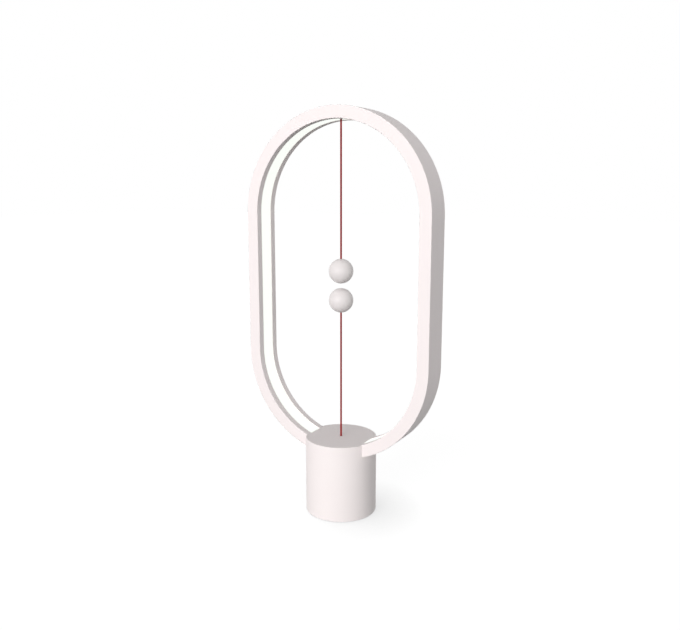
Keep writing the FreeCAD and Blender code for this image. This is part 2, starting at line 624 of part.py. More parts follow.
def bottom_cover():
    """The disc that closes the base, with a recess for the pad and sunk screw seats."""
    disc = bar(COVER_R, BASE_LIFT, BOTTOM_COVER_TOP_Z)
    disc = disc.cut(bar(PAD_R + FIT_GAP, BASE_LIFT, PAD_THICKNESS))
    for x, y in post_points():
        disc = disc.cut(bar(SCREW_RADIUS + FIT_GAP, BASE_LIFT, BOTTOM_COVER_TOP_Z, x, y))
        disc = disc.cut(bar(SCREW_HEAD_RADIUS + FIT_GAP, BASE_LIFT, PAD_SEAT_Z, x, y))
    return disc


def bottom_screws():
    """Four screws up through the bottom cover into the posts, hidden by the pad."""
    screws = []
    for x, y in post_points():
        screws.append(pan_screw(CASE_SCREW, x, y, PAD_SEAT_Z, SCREW_LENGTH, True))
    return Part.makeCompound(screws)


def foot_pad():
    """The rubber disc that the lamp stands on, with ring grooves round the edge of its underside."""
    pad = bar(PAD_R, 0, PAD_THICKNESS)
    for index in range(PAD_GROOVE_COUNT):
        outer = PAD_R - (index + 1) * PAD_GROOVE_PITCH
        pad = pad.cut(tube(outer, outer - PAD_GROOVE_WIDTH, 0, PAD_GROOVE_DEPTH))
    return pad


def ballast_weight():
    """The steel slug, scalloped round the posts."""
    slug = bar(LOOSE_R, BOTTOM_COVER_TOP_Z, BALLAST_TOP_Z)
    for x, y in post_points():
        slug = slug.cut(bar(POST_RADIUS + WALL_GAP, BOTTOM_COVER_TOP_Z, BALLAST_TOP_Z, x, y))
    bore_bottom = BALLAST_TOP_Z - BOARD_SCREW_LENGTH
    for x, y in standoff_points():
        slug = slug.cut(bar(BOARD_SCREW_RADIUS + FIT_GAP, bore_bottom, BALLAST_TOP_Z, x, y))
    return slug


def standoff_points():
    """The board's screw places."""
    return ring_points(STANDOFF_COUNT, STANDOFF_CIRCLE_R, STANDOFF_TURN + 180.0)


def board_standoffs():
    """Three spacers between the ballast and the board."""
    spacers = []
    for x, y in standoff_points():
        spacers.append(tube(STANDOFF_RADIUS, BOARD_SCREW_RADIUS + FIT_GAP, BALLAST_TOP_Z, BOARD_Z, x, y))
    return Part.makeCompound(spacers)


def control_board():
    """The round board, with a tongue to the rear window."""
    half = BOARD_TONGUE_WIDTH / 2
    tongue_y = math.sqrt(LOOSE_R ** 2 - half ** 2)
    board = bar(BOARD_R, BOARD_Z, BOARD_TOP_Z).fuse(block(-half, half, 0, tongue_y, BOARD_Z, BOARD_TOP_Z))
    board = board.removeSplitter()
    for x, y in standoff_points():
        board = board.cut(bar(BOARD_SCREW_RADIUS + FIT_GAP, BOARD_Z, BOARD_TOP_Z, x, y))
    return board


def board_screws():
    """Three screws through the board and the spacers into the ballast."""
    length = BOARD_THICKNESS + STANDOFF_LENGTH + BOARD_SCREW_LENGTH - SEAT_GAP
    screws = []
    for x, y in standoff_points():
        screws.append(pan_screw(SMALL_SCREW, x, y, BOARD_TOP_Z, length, False))
    return Part.makeCompound(screws)


def board_block(place, size):
    """A rectangular component on the board, by its centre and its width, depth and height."""
    half_width = size[0] / 2
    half_depth = size[1] / 2
    x, y = place
    top = BOARD_TOP_Z + size[2]
    return block(x - half_width, x + half_width, y - half_depth, y + half_depth, BOARD_TOP_Z, top)


def board_components():
    """Chips, inductor and capacitors on the board's top."""
    parts = [
        board_block(DRIVER_CHIP_PLACE, DRIVER_CHIP_SIZE),
        board_block(INDUCTOR_PLACE, INDUCTOR_SIZE),
        board_block(INPUT_CHIP_PLACE, INPUT_CHIP_SIZE),
    ]
    for x, y in CAPACITOR_PLACES:
        parts.append(bar(CAPACITOR_RADIUS, BOARD_TOP_Z, BOARD_TOP_Z + CAPACITOR_HEIGHT, x, y))
    return Part.makeCompound(parts)


def rounded_bar(inset, y_low, y_high):
    """A flat-sided round-ended bar along Y, as large as the socket less an inset all round."""
    end_r = USB_HEIGHT / 2 - inset
    end_x = (USB_WIDTH - USB_HEIGHT) / 2
    shape = block(-end_x, end_x, y_low, y_high, USB_CENTRE_Z - end_r, USB_CENTRE_Z + end_r)
    for side in (-1, 1):
        start = V(side * end_x, y_low, USB_CENTRE_Z)
        shape = shape.fuse(Part.makeCylinder(end_r, y_high - y_low, start, V(0, 1, 0)))
    return shape.removeSplitter()


def usb_socket():
    """The power socket's round-ended metal shell."""
    shell = rounded_bar(0, USB_INNER_Y, USB_OUTER_Y)
    return shell.cut(rounded_bar(USB_SHELL, USB_INNER_Y, USB_OUTER_Y))


def usb_insert():
    """The moulding in the shell: its plug at the inner end, and the contact tongue."""
    plug_end = USB_INNER_Y + USB_BACK
    plug = rounded_bar(USB_SHELL + CONTACT_GAP, USB_INNER_Y, plug_end)
    half = USB_TONGUE_WIDTH / 2
    low = USB_CENTRE_Z - USB_TONGUE_THICKNESS / 2
    tongue_end = plug_end + USB_TONGUE_DEPTH
    tongue = block(-half, half, USB_INNER_Y, tongue_end, low, low + USB_TONGUE_THICKNESS)
    return plug.fuse(tongue).removeSplitter()


# ---- Pull switch ----

def switch_case():
    """The case under the saddle, open at the back, with slider guides and slots for the contacts."""
    half_x = SWITCH_INNER_WIDTH / 2
    half_y = SWITCH_INNER_DEPTH / 2
    flange_x = CASE_HALF_X + SWITCH_FLANGE
    case = block(-CASE_HALF_X, CASE_HALF_X, -CASE_HALF_Y, CASE_HALF_Y, CASE_Z, SADDLE_Z)
    ears = block(-flange_x, flange_x, -half_y, half_y, CASE_INNER_TOP_Z, SADDLE_Z)
    case = case.fuse(ears).removeSplitter()
    case = case.cut(block(-half_x, half_x, -half_y, CASE_HALF_Y, CASE_INNER_Z, CASE_INNER_TOP_Z))
    rib_inner = SLIDER_WIDTH / 2 + SLIDE_GAP
    rib_y = -half_y + GUIDE_RIB_DEPTH
    slot_inner = CONTACT_OUTER_X - CONTACT_THICKNESS - SEAT_GAP
    slot_y = CONTACT_FRONT_Y - SEAT_GAP
    slot_end_y = CONTACT_FRONT_Y + CONTACT_WIDTH + SEAT_GAP
    ear_hole_r = BOARD_SCREW_RADIUS + FIT_GAP
    for side in (-1, 1):
        rib_x = sorted((side * rib_inner, side * CASE_HALF_X))
        case = case.fuse(block(rib_x[0], rib_x[1], -half_y, rib_y, CASE_INNER_Z, SLIDER_TOP_Z))
        slot_x = sorted((side * slot_inner, side * half_x))
        case = case.cut(block(slot_x[0], slot_x[1], slot_y, slot_end_y, CASE_Z, CASE_INNER_Z))
        case = case.cut(bar(ear_hole_r, CASE_INNER_TOP_Z, SADDLE_Z, side * SWITCH_SCREW_X))
    case = case.cut(bar(CORD_R + WALL_GAP, CASE_INNER_TOP_Z, SADDLE_Z))
    return case.removeSplitter()


def switch_lid():
    """The plate that closes the back of the case."""
    half_x = SWITCH_INNER_WIDTH / 2 - CONTACT_GAP
    return block(-half_x, half_x, SWITCH_INNER_DEPTH / 2, CASE_HALF_Y,
                 CASE_INNER_Z + CONTACT_GAP, CASE_INNER_TOP_Z - CONTACT_GAP)


def switch_screws():
    """Two screws up through the case's ears into the saddle."""
    length = SWITCH_PLATE + SWITCH_SCREW_LENGTH - SEAT_GAP
    screws = []
    for side in (-1, 1):
        x = side * SWITCH_SCREW_X
        screws.append(pan_screw(SMALL_SCREW, x, 0, CASE_INNER_TOP_Z, length, True))
    return Part.makeCompound(screws)


def switch_slider():
    """The block that the cord lifts."""
    half_x = SLIDER_WIDTH / 2
    half_y = SLIDER_DEPTH / 2
    slider = block(-half_x, half_x, -half_y, half_y, SLIDER_Z, SLIDER_TOP_Z)
    return slider.cut(bar(CORD_R + CRIMP_GAP, SLIDER_Z, SLIDER_TOP_Z))


def slider_contact():
    """The brass bridge on the slider's back."""
    y = SLIDER_DEPTH / 2
    low = BRIDGE_TOP_Z - BRIDGE_HEIGHT
    return block(-BRIDGE_HALF_X, BRIDGE_HALF_X, y, y + BRIDGE_THICKNESS, low, BRIDGE_TOP_Z)


def fixed_contacts():
    """Two brass strips: a pad over each end of the bridge, and a leg down through the case's floor."""
    strips = []
    for side in (-1, 1):
        pad_x = sorted((side * CONTACT_INNER_X, side * CONTACT_OUTER_X))
        leg_x = sorted((side * (CONTACT_OUTER_X - CONTACT_THICKNESS), side * CONTACT_OUTER_X))
        y_high = CONTACT_FRONT_Y + CONTACT_WIDTH
        pad_top = CONTACT_PAD_Z + CONTACT_THICKNESS
        pad = block(pad_x[0], pad_x[1], CONTACT_FRONT_Y, y_high, CONTACT_PAD_Z, pad_top)
        leg = block(leg_x[0], leg_x[1], CONTACT_FRONT_Y, y_high, CONTACT_TAIL_Z, pad_top)
        strips.append(pad.fuse(leg).removeSplitter())
    return Part.makeCompound(strips)


def switch_spring():
    """The coil spring that pushes the slider down when the cord goes slack."""
    height = SPRING_SPACE - 2 * SPRING_WIRE_RADIUS - 2 * CONTACT_GAP
    low = SLIDER_TOP_Z + SPRING_WIRE_RADIUS + CONTACT_GAP
    helix = Part.makeHelix(height / SPRING_TURNS, height, SPRING_RADIUS)
    helix.translate(V(0, 0, low))
    section = Part.Wire(Part.makeCircle(SPRING_WIRE_RADIUS, V(SPRING_RADIUS, 0, low), V(0, 1, 0)))
    return Part.Wire(helix.Edges).makePipeShell([section], True, True)


def switch_leads():
    """Two wires from the contacts' tails to the board."""
    x = CONTACT_OUTER_X - CONTACT_THICKNESS / 2
    y = CONTACT_FRONT_Y + CONTACT_WIDTH / 2
    wires = [bar(WIRE_RADIUS, BOARD_TOP_Z, CONTACT_TAIL_Z, side * x, y) for side in (-1, 1)]
    return Part.makeCompound(wires)


def lower_cord_tail():
    """The cord from the base's top down through the loop, the saddle and the slider."""
    return bar(CORD_R, TAIL_CRIMP_Z, LOWER_PIVOT_Z - CORD_NECK_RADIUS)


def lower_cord_crimp():
    """The crimp under the slider."""
    return tube(CRIMP_RADIUS, CORD_R + CRIMP_GAP, TAIL_CRIMP_Z, TAIL_CRIMP_TOP_Z)


NODES = {
    "frame_channel": frame_channel,
    "diffuser_strip": diffuser_strip,
    "led_strip": led_strip,
    "led_chips": led_chips,
    "led_leads": led_leads,
    "upper_anchor": upper_anchor,
    "upper_stop_bead": upper_stop_bead,
    "upper_cord_tail": upper_cord_tail,
    "upper_cord_bend": lambda: cord_bend(UPPER_PIVOT_Z),
    "upper_cord": upper_cord,
    "upper_ball_cord_half": lambda: at_upper(ball_cord_half()),
    "upper_ball_magnet_half": lambda: at_upper(ball_magnet_half()),
    "upper_magnet": lambda: at_upper(ball_magnet()),
    "upper_crimp": lambda: at_upper(ball_crimp()),
    "lower_ball_cord_half": lambda: at_lower(ball_cord_half()),
    "lower_ball_magnet_half": lambda: at_lower(ball_magnet_half()),
    "lower_magnet": lambda: at_lower(ball_magnet()),
    "lower_crimp": lambda: at_lower(ball_crimp()),
    "lower_cord": lower_cord,
    "lower_cord_bend": lambda: cord_bend(LOWER_PIVOT_Z),
    "lower_cord_tail": lower_cord_tail,
    "lower_cord_crimp": lower_cord_crimp,
    "base_housing": base_housing,
    "top_cover": top_cover,
    "cord_guide": cord_guide,
    "frame_saddle": frame_saddle,
    "saddle_screws": saddle_screws,
    "bottom_cover": bottom_cover,
    "bottom_screws": bottom_screws,
    "foot_pad": foot_pad,
    "ballast_weight": ballast_weight,
    "board_standoffs": board_standoffs,
    "control_board": control_board,
    "board_screws": board_screws,
    "board_components": board_components,
    "usb_socket": usb_socket,
    "usb_insert": usb_insert,
    "switch_case": switch_case,
    "switch_lid": switch_lid,
    "switch_screws": switch_screws,
    "switch_slider": switch_slider,
    "slider_contact": slider_contact,
    "fixed_contacts": fixed_contacts,
    "switch_spring": switch_spring,
    "switch_leads": switch_leads,
}


os.makedirs("parts", exist_ok=True)
for node, make in NODES.items():
    shape = make()
    shape.exportStep("parts/" + node + ".step")
    print(node, len(shape.Solids), round(shape.Volume, 2), shape.isValid())
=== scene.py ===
"""Magnetic balance lamp: its finishes, braided cords, floor, light and camera.

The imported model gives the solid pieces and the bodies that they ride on. This file dresses
those pieces, braids the red cords and sets up a plain studio. Lengths are metres.
"""

import logging
from dataclasses import dataclass, field
from enum import Enum
from math import cos, pi, radians, sin
from typing import ClassVar

import bpy
import numpy as np
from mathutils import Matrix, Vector

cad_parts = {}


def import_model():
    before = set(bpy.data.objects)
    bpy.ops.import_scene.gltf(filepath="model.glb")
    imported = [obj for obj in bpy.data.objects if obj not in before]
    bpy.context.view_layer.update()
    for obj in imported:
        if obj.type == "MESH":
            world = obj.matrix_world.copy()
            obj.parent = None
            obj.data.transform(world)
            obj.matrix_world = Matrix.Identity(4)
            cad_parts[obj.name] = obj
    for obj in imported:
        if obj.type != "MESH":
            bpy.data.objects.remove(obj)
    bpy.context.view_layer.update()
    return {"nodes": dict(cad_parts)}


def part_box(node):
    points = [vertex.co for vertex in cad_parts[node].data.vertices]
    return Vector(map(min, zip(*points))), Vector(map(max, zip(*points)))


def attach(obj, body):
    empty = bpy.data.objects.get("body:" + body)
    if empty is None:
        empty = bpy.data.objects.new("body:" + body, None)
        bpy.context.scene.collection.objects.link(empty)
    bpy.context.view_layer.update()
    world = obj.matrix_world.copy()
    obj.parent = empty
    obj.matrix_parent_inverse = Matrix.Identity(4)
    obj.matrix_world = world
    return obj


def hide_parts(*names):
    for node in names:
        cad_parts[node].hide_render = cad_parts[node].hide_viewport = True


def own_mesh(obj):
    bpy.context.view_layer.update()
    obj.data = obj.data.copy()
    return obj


log = logging.getLogger("lamp")

MM = 0.001
WAVE_SPACING = pi / 10  # from one band of a wave texture to the next, at a scale of 1


def hex_to_linear(code: str) -> tuple[float, float, float, float]:
    """Turns an sRGB hex colour into the linear colour that Blender's sockets take.

    Args:
        code: the colour, such as "#F7EEEE".

    Returns:
        Red, green, blue and an alpha of 1.
    """
    shares = [int(code[i : i + 2], 16) / 255 for i in (1, 3, 5)]
    linear = [s / 12.92 if s <= 0.04045 else ((s + 0.055) / 1.055) ** 2.4 for s in shares]
    return (linear[0], linear[1], linear[2], 1.0)


def grey(level: float) -> tuple[float, float, float, float]:
    """Gives a linear grey of this brightness, where 1 is white."""
    return (level, level, level, 1.0)


def add_node(
    tree: bpy.types.NodeTree,
    kind: str,
    settings: dict[str, object] | None = None,
    inputs: dict[str | int, object] | None = None,
) -> bpy.types.Node:
    """Adds one node with its settings and links.

    Args:
        tree: the node tree that gets the node.
        kind: the node's type, such as "ShaderNodeTexNoise".
        settings: the node's own properties by name.
        inputs: a value, or another node's output, for each input by name or place.

    Returns:
        The new node.
    """
    node = tree.nodes.new(kind)
    for name, value in (settings or {}).items():
        setattr(node, name, value)
    for name, value in (inputs or {}).items():
        if isinstance(value, bpy.types.NodeSocket):
            tree.links.new(value, node.inputs[name])
        else:
            node.inputs[name].default_value = value
    return node


def calculate(tree: bpy.types.NodeTree, operation: str, *values: object) -> bpy.types.NodeSocket:
    """Adds a node that works out one number from others.

    Args:
        tree: the node tree that gets the node.
        operation: what it does with the numbers, such as "MULTIPLY".
        values: the numbers in their order, or the outputs that give them.

    Returns:
        The new number's output.
    """
    node = add_node(tree, "ShaderNodeMath", {"operation": operation}, dict(enumerate(values)))
    return node.outputs[0]


def mix_colours(
    tree: bpy.types.NodeTree, share: object, first: object, second: object, way: str = "MIX"
) -> bpy.types.NodeSocket:
    """Adds a node that mixes two colours.

    Args:
        tree: the node tree that gets the node.
        share: how much of the second colour there is, from 0 to 1, or the output that gives it.
        first: the first colour, or the output that gives it.
        second: the second colour, or the output that gives it.
        way: how the two are mixed, such as "MULTIPLY".

    Returns:
        The mixed colour's output.
    """
    settings = {"data_type": "RGBA", "blend_type": way}
    mix = add_node(tree, "ShaderNodeMix", settings, {0: share, 6: first, 7: second})
    return mix.outputs[2]


@dataclass(frozen=True)
class Finish:
    """What every finish has. A finish of its own kind adds its pattern in surface().

    Attributes:
        name: the material's name.
        colour: the colour as an sRGB hex value.
        shade: a second colour that the first one drifts to, as an sRGB hex value.
        roughness: the middle of the surface's roughness.
        grain: millimetres from one grain of the surface to the next.
        height: millimetres from the bottom to the top of a grain.
        clouds: how many times a metre the colour drifts to and fro.
        gloss_swing: how far the roughness moves either way between a grain's top and bottom.
        fixed: the values that all pieces of this kind share, by the shader's input.
    """

    name: str
    colour: str
    shade: str
    roughness: float
    grain: float = 1.0
    height: float = 0.005
    clouds: ClassVar[float] = 30.0
    gloss_swing: ClassVar[float] = 0.06
    fixed: ClassVar[dict[str, object]] = {}

    @property
    def grains(self) -> float:
        """How many grains there are in a metre."""
        return 1 / (self.grain * MM)

    def surface(self, tree: bpy.types.NodeTree, place: bpy.types.NodeSocket) -> dict[str, object]:
        """Gives the sockets that the finish's pattern drives.

        Args:
            tree: the material's node tree.
            place: the place on the piece, in metres.

        Returns:
            A value or an output for each named input of the shader.
        """
        grain = add_node(
            tree, "ShaderNodeTexNoise", None, {"Vector": place, "Scale": self.grains, "Detail": 2.0}
        )
        return self.drift(tree, place) | self.relief(tree, grain.outputs[0])

    def drift(self, tree: bpy.types.NodeTree, place: bpy.types.NodeSocket) -> dict[str, object]:
        """Lets the colour drift to its second shade over a few centimetres.

        Args:
            tree: the material's node tree.
            place: the place on the piece, in metres.

        Returns:
            The base colour's output.
        """
        cloud = add_node(
            tree, "ShaderNodeTexNoise", None, {"Vector": place, "Scale": self.clouds, "Detail": 3.0}
        )
        return {"Base Color": self.blend(tree, cloud.outputs[0])}

    def blend(self, tree: bpy.types.NodeTree, share: bpy.types.NodeSocket) -> bpy.types.NodeSocket:
        """Mixes the finish's two colours.

        Args:
            tree: the material's node tree.
            share: how much of the second colour there is, from 0 to 1.

        Returns:
            The mixed colour's output.
        """
        return mix_colours(tree, share, hex_to_linear(self.colour), hex_to_linear(self.shade))

    def relief(self, tree: bpy.types.NodeTree, height: bpy.types.NodeSocket) -> dict[str, object]:
        """Raises the grain and makes its tops a little smoother than its hollows.

        Args:
            tree: the material's node tree.
            height: the grain's height, from 0 to 1.

        Returns:
            The roughness and the normal.
        """
        dull, bright = self.roughness + self.gloss_swing, self.roughness - self.gloss_swing
        gloss = add_node(
            tree, "ShaderNodeMapRange", None, {"Value": height, "To Min": dull, "To Max": bright}
        )
        bump = add_node(
            tree, "ShaderNodeBump", None, {"Distance": self.height * MM, "Height": height}
        )
        return {"Roughness": gloss.outputs[0], "Normal": bump.outputs[0]}

    def make(self) -> bpy.types.Material:
        """Makes the material, unless one is already made under this name.

        Returns:
            The finish's one material.
        """
        if self.name in bpy.data.materials:
            return bpy.data.materials[self.name]
        material = bpy.data.materials.new(self.name)
        material.use_nodes = True
        tree = material.node_tree
        tree.nodes.clear()
        place = add_node(tree, "ShaderNodeTexCoord").outputs["Object"]
        inputs = self.fixed | self.surface(tree, place)
        shader = add_node(tree, "ShaderNodeBsdfPrincipled", None, inputs)
        add_node(tree, "ShaderNodeOutputMaterial", None, {"Surface": shader.outputs[0]})
        return material

    def put_on(self, piece: bpy.types.Object) -> None:
        """Gives a piece this finish all over.

        Args:
            piece: the piece, with or without slots for its materials.
        """
        material = self.make()
        if not piece.material_slots:
            piece.data.materials.append(material)
        for slot in piece.material_slots:
            slot.material = material


@dataclass(frozen=True)
class PowderCoat(Finish):
    """Polyester powder baked on aluminium: even colour over a soft orange-peel skin."""

    fixed: ClassVar[dict[str, object]] = {"IOR": 1.5, "Specular IOR Level": 0.12}


@dataclass(frozen=True)
class SparkErodedPlastic(Finish):
    """Plastic from a mould with a spark-eroded face: small pits side by side, dull and even."""

    fixed: ClassVar[dict[str, object]] = {"IOR": 1.53, "Specular IOR Level": 0.12}

    def surface(self, tree: bpy.types.NodeTree, place: bpy.types.NodeSocket) -> dict[str, object]:
        """Gives the pits, as rounded cells of uneven size.

        Args:
            tree: the material's node tree.
            place: the place on the piece, in metres.

        Returns:
            A value or an output for each named input of the shader.
        """
        pits = add_node(
            tree,
            "ShaderNodeTexVoronoi",
            {"feature": "SMOOTH_F1"},
            {"Vector": place, "Scale": self.grains, "Smoothness": 0.6},
        )
        return self.drift(tree, place) | self.relief(tree, pits.outputs[0])


@dataclass(frozen=True)
class PolishedPlastic(Finish):
    """Plastic from a satin-polished mould: a soft broad highlight and faint flow ripples."""

    fixed: ClassVar[dict[str, object]] = {"IOR": 1.53, "Specular IOR Level": 0.25}


@dataclass(frozen=True)
class LitPlastic(Finish):
    """Frosted plastic with lamps behind it: it glows evenly from edge to edge.

    Attributes:
        glow: the colour of the light as an sRGB hex value.
        strength: how bright it is, where 1 is white.
    """

    glow: str = "#FFFFFF"
    strength: float = 1.0

    def surface(self, tree: bpy.types.NodeTree, place: bpy.types.NodeSocket) -> dict[str, object]:
        """Adds the glow to the frosted surface.

        Args:
            tree: the material's node tree.
            place: the place on the piece, in metres.

        Returns:
            A value or an output for each named input of the shader.
        """
        return super().surface(tree, place) | {
            "Emission Color": hex_to_linear(self.glow),
            "Emission Strength": self.strength,
        }


class ToolMarks(Enum):
    """The marks that a metal piece keeps from how it was made."""

    TURNED = ("RINGS", {"rings_direction": "Z"})
    DRAWN = ("BANDS", {"bands_direction": "X"})
    ROLLED = ("BANDS", {"bands_direction": "Y"})


@dataclass(frozen=True)
class Metal(Finish):
    """Bare or plated metal with its tool marks.

    Attributes:
        marks: the kind of marks, which are a grain apart.
    """

    marks: ToolMarks = ToolMarks.ROLLED
    fixed: ClassVar[dict[str, object]] = {"Metallic": 1.0}

    def surface(self, tree: bpy.types.NodeTree, place: bpy.types.NodeSocket) -> dict[str, object]:
        """Gives fine grooves, uneven in depth.

        Args:
            tree: the material's node tree.
            place: the place on the piece, in metres.

        Returns:
            A value or an output for each named input of the shader.
        """
        kind, direction = self.marks.value
        grooves = add_node(
            tree,
            "ShaderNodeTexWave",
            {"wave_type": kind} | direction,
            {
                "Vector": place,
                "Scale": WAVE_SPACING * self.grains,
                "Distortion": 2.0,
                "Detail": 2.0,
            },
        )
        return self.drift(tree, place) | self.relief(tree, grooves.outputs[1])


@dataclass(frozen=True)
class Laminate(Finish):
    """Glass cloth in resin under a lacquer: a fine square weave shows through the colour."""

    def surface(self, tree: bpy.types.NodeTree, place: bpy.types.NodeSocket) -> dict[str, object]:
        """Gives the weave, as two sets of threads.

        Args:
            tree: the material's node tree.
            place: the place on the piece, in metres.

        Returns:
            A value or an output for each named input of the shader.
        """
        warp, weft = (
            add_node(
                tree,
                "ShaderNodeTexWave",
                {"bands_direction": way},
                {"Vector": place, "Scale": WAVE_SPACING * self.grains, "Distortion": 0.5},
            )
            for way in ("X", "Y")
        )
        weave = calculate(tree, "MULTIPLY", warp.outputs[1], weft.outputs[1])
        return self.drift(tree, place) | self.relief(tree, weave)


@dataclass(frozen=True)
class BraidedThread(Finish):
    """Polyester yarn: many fine filaments side by side, dull with a soft sheen at its outline, and
    a painted shade in the gaps between strands.

    The braid's own mesh carries an attribute with the place across the top strand, the place
    along it and a number for each strand, so the filaments follow every strand.

    Attributes:
        filaments: filaments that show across one strand.
        painted_gap_shade: how far the painted shade of the gaps reaches into a strand, as a share
            of its width.
        painted_gap_tone: how much of the colour the painted shade leaves at the very edge.
        tone_scale: how fast a strand's own tone changes along it and from strand to strand.
    """

    filaments: int = 7
    painted_gap_shade: ClassVar[float] = 0.2
    painted_gap_tone: ClassVar[float] = 0.45
    tone_scale: ClassVar[float] = 0.9
    fixed: ClassVar[dict[str, object]] = {
        "IOR": 1.5,
        "Specular IOR Level": 0.12,
        "Sheen Weight": 0.03,
        "Sheen Roughness": 0.4,
    }

    def surface(self, tree: bpy.types.NodeTree, place: bpy.types.NodeSocket) -> dict[str, object]:
        """Gives the filaments, a painted shade in the gaps between strands and each strand's own
        tone.

        Args:
            tree: the material's node tree.
            place: the place on the piece, in metres. The strand's own place is read instead.

        Returns:
            A value or an output for each named input of the shader.
        """
        strand = add_node(tree, "ShaderNodeAttribute", {"attribute_name": "strand"})
        parts = add_node(tree, "ShaderNodeSeparateXYZ", None, {0: strand.outputs["Vector"]})
        across, along, number = parts.outputs
        phase = calculate(tree, "MULTIPLY", across, 2 * pi * self.filaments)
        ridge = calculate(tree, "SINE", phase)
        height = add_node(tree, "ShaderNodeMapRange", None, {"Value": ridge, "From Min": -1.0})
        # Painted shade: the colour darkens towards each strand's edges, where the gaps between
        # strands lie.
        inside = calculate(tree, "PINGPONG", across, 0.5)
        painted_gap_shade = add_node(
            tree,
            "ShaderNodeMapRange",
            None,
            {"Value": inside, "From Max": self.painted_gap_shade, "To Min": self.painted_gap_tone},
        )
        way = add_node(tree, "ShaderNodeCombineXYZ", None, {0: number, 1: along})
        tone = add_node(
            tree,
            "ShaderNodeTexNoise",
            None,
            {"Vector": way.outputs[0], "Scale": self.tone_scale, "Detail": 1.0},
        )
        dye = self.blend(tree, tone.outputs[0])
        # The dye times the painted shade of the gaps.
        colour = mix_colours(tree, 1.0, dye, painted_gap_shade.outputs[0], "MULTIPLY")
        return {"Base Color": colour} | self.relief(tree, height.outputs[0])


# Powder-coated aluminium, baked: warm white with a faint pink cast, dull, and a soft peel that
# only breaks up the highlights. The peel's bumps are about 2 mm apart.
LOOP_COAT = PowderCoat("powder_coated_aluminium_baked", "#F7EEEE", "#F5ECEB", 0.46, 2.0, 0.006)
# Spark-eroded ABS: the loop's colour on a drier surface. The real pits are 0.2 mm apart, which
# is too fine to show, so they are drawn 0.7 mm apart.
BASE_SHELL = SparkErodedPlastic("abs_spark_eroded_moulding", "#FAF2F1", "#F8EFEE", 0.55, 0.7, 0.008)
# The cover comes from the same grade out of a finer-textured tool, so its top reads plainer.
BASE_TOP = SparkErodedPlastic("abs_fine_eroded_cover", "#FBF3F3", "#F9F0F0", 0.6, 0.5, 0.005)
# Satin-polished ABS: the balls have the one soft highlight on the lamp.
BALL_SHELL = PolishedPlastic("abs_satin_polished_ball", "#E8E2E1", "#E5DEDE", 0.4, 3.0, 0.004)
# Frosted polycarbonate, extruded: dull grey until it is lit, and here it glows an even white.
DIFFUSER = LitPlastic(
    "polycarbonate_frosted_extrusion", "#8C8C88", "#8A8A86", 0.6, 0.6, 0.004, "#FBFFF9", 0.86
)
# Silicone resin with phosphor: deep yellow until it is lit, and here it is lit.
PHOSPHOR = LitPlastic(
    "silicone_phosphor_cast", "#F0D468", "#E8C850", 0.35, 0.4, 0.004, "#FFF3D8", 1.0
)
# Polyimide strip under a white solder mask, printed: flat white with a soft shine.
STRIP_BOARD = Laminate("polyimide_strip_solder_masked", "#E9E9E6", "#E2E2DF", 0.4, 0.3, 0.004)
# Silicone sleeve, extruded: soft grey, slightly dusty.
WIRE_SLEEVE = PolishedPlastic("silicone_sleeve_extruded", "#A9A8A6", "#A19F9D", 0.5, 0.5, 0.004)
# Acetal, moulded: waxy off-white with a soft shine.
BUSH = PolishedPlastic("acetal_bush_moulded", "#ECE6E4", "#E7E1DF", 0.35, 0.8, 0.003)
# Brass tube, cut and pressed: bright yellow with lines round it.
CRIMP = Metal("brass_crimp_pressed", "#D8BE7A", "#C9AE6A", 0.28, 0.3, 0.006, ToolMarks.TURNED)
# Polyester braid, dyed red: two reds a little apart, so the strands can be told from each other.
CORD = BraidedThread("polyester_cord_braided", "#9E2024", "#8F1B1F", 0.85, 1.0, 0.02)
# Nickel on sintered magnet, plated: mirror-like with a faint warm tone.
MAGNET = Metal("nickel_plated_magnet", "#CFCBC4", "#C4C0B9", 0.16, 0.6, 0.002, ToolMarks.TURNED)
# Glass-filled nylon, moulded: dark grey, dry, with short fibres just under the skin.
INNER_FRAME = SparkErodedPlastic(
    "nylon_glass_filled_moulding", "#58575A", "#4C4B4E", 0.62, 0.6, 0.012
)
# Steel screw, zinc plated: pale blue-grey, bright on the head's dome.
SCREW = Metal("zinc_plated_steel_screw", "#C9CBCF", "#B4B6BC", 0.3, 0.25, 0.004, ToolMarks.ROLLED)
# ABS cover, moulded: the base's white, a little greyer from a coarser tool.
UNDERSIDE = SparkErodedPlastic("abs_coarse_eroded_cover", "#F0E8E8", "#EBE2E1", 0.6, 0.9, 0.012)
# Silicone rubber, pressed: black-grey, soft, with a pebbled skin that takes dust.
FOOT = SparkErodedPlastic("silicone_rubber_pressed", "#3A3939", "#302F2F", 0.8, 0.8, 0.02)
# Mild steel, turned on a lathe: grey with rings round the middle, oiled.
BALLAST = Metal("mild_steel_turned", "#A4A5A8", "#8F9094", 0.34, 0.35, 0.01, ToolMarks.TURNED)
# Glass-epoxy board under a black solder mask: the weave shows through the lacquer, and the gap
# round the power socket reads dark.
BOARD = Laminate("glass_epoxy_solder_masked", "#262928", "#1F2221", 0.35, 0.6, 0.006)
# Epoxy moulding compound: matt black bodies of the chips, coil and capacitors.
CHIP_BODY = SparkErodedPlastic("epoxy_moulded_component", "#2A2A2B", "#222223", 0.55, 0.3, 0.008)
# Stainless sheet, stamped, folded and nickel plated: pale grey with rolling lines.
SOCKET_SHELL = Metal(
    "nickel_plated_steel_stamped", "#D0CFCC", "#C2C1BE", 0.25, 0.3, 0.003, ToolMarks.ROLLED
)
# Liquid-crystal polymer, moulded: black and slightly shiny.
SOCKET_INSERT = PolishedPlastic("lcp_insert_moulded", "#2B2B2C", "#242425", 0.42, 0.4, 0.004)
# Polyamide, moulded: the switch's black case, matt.
SWITCH_CASE = SparkErodedPlastic("polyamide_case_moulded", "#2F2F30", "#272728", 0.58, 0.4, 0.008)
# Acetal, moulded: the slider's ivory, which runs dry in the case.
SLIDER = PolishedPlastic("acetal_slider_moulded", "#E6E4D9", "#DEDCD0", 0.4, 0.7, 0.003)
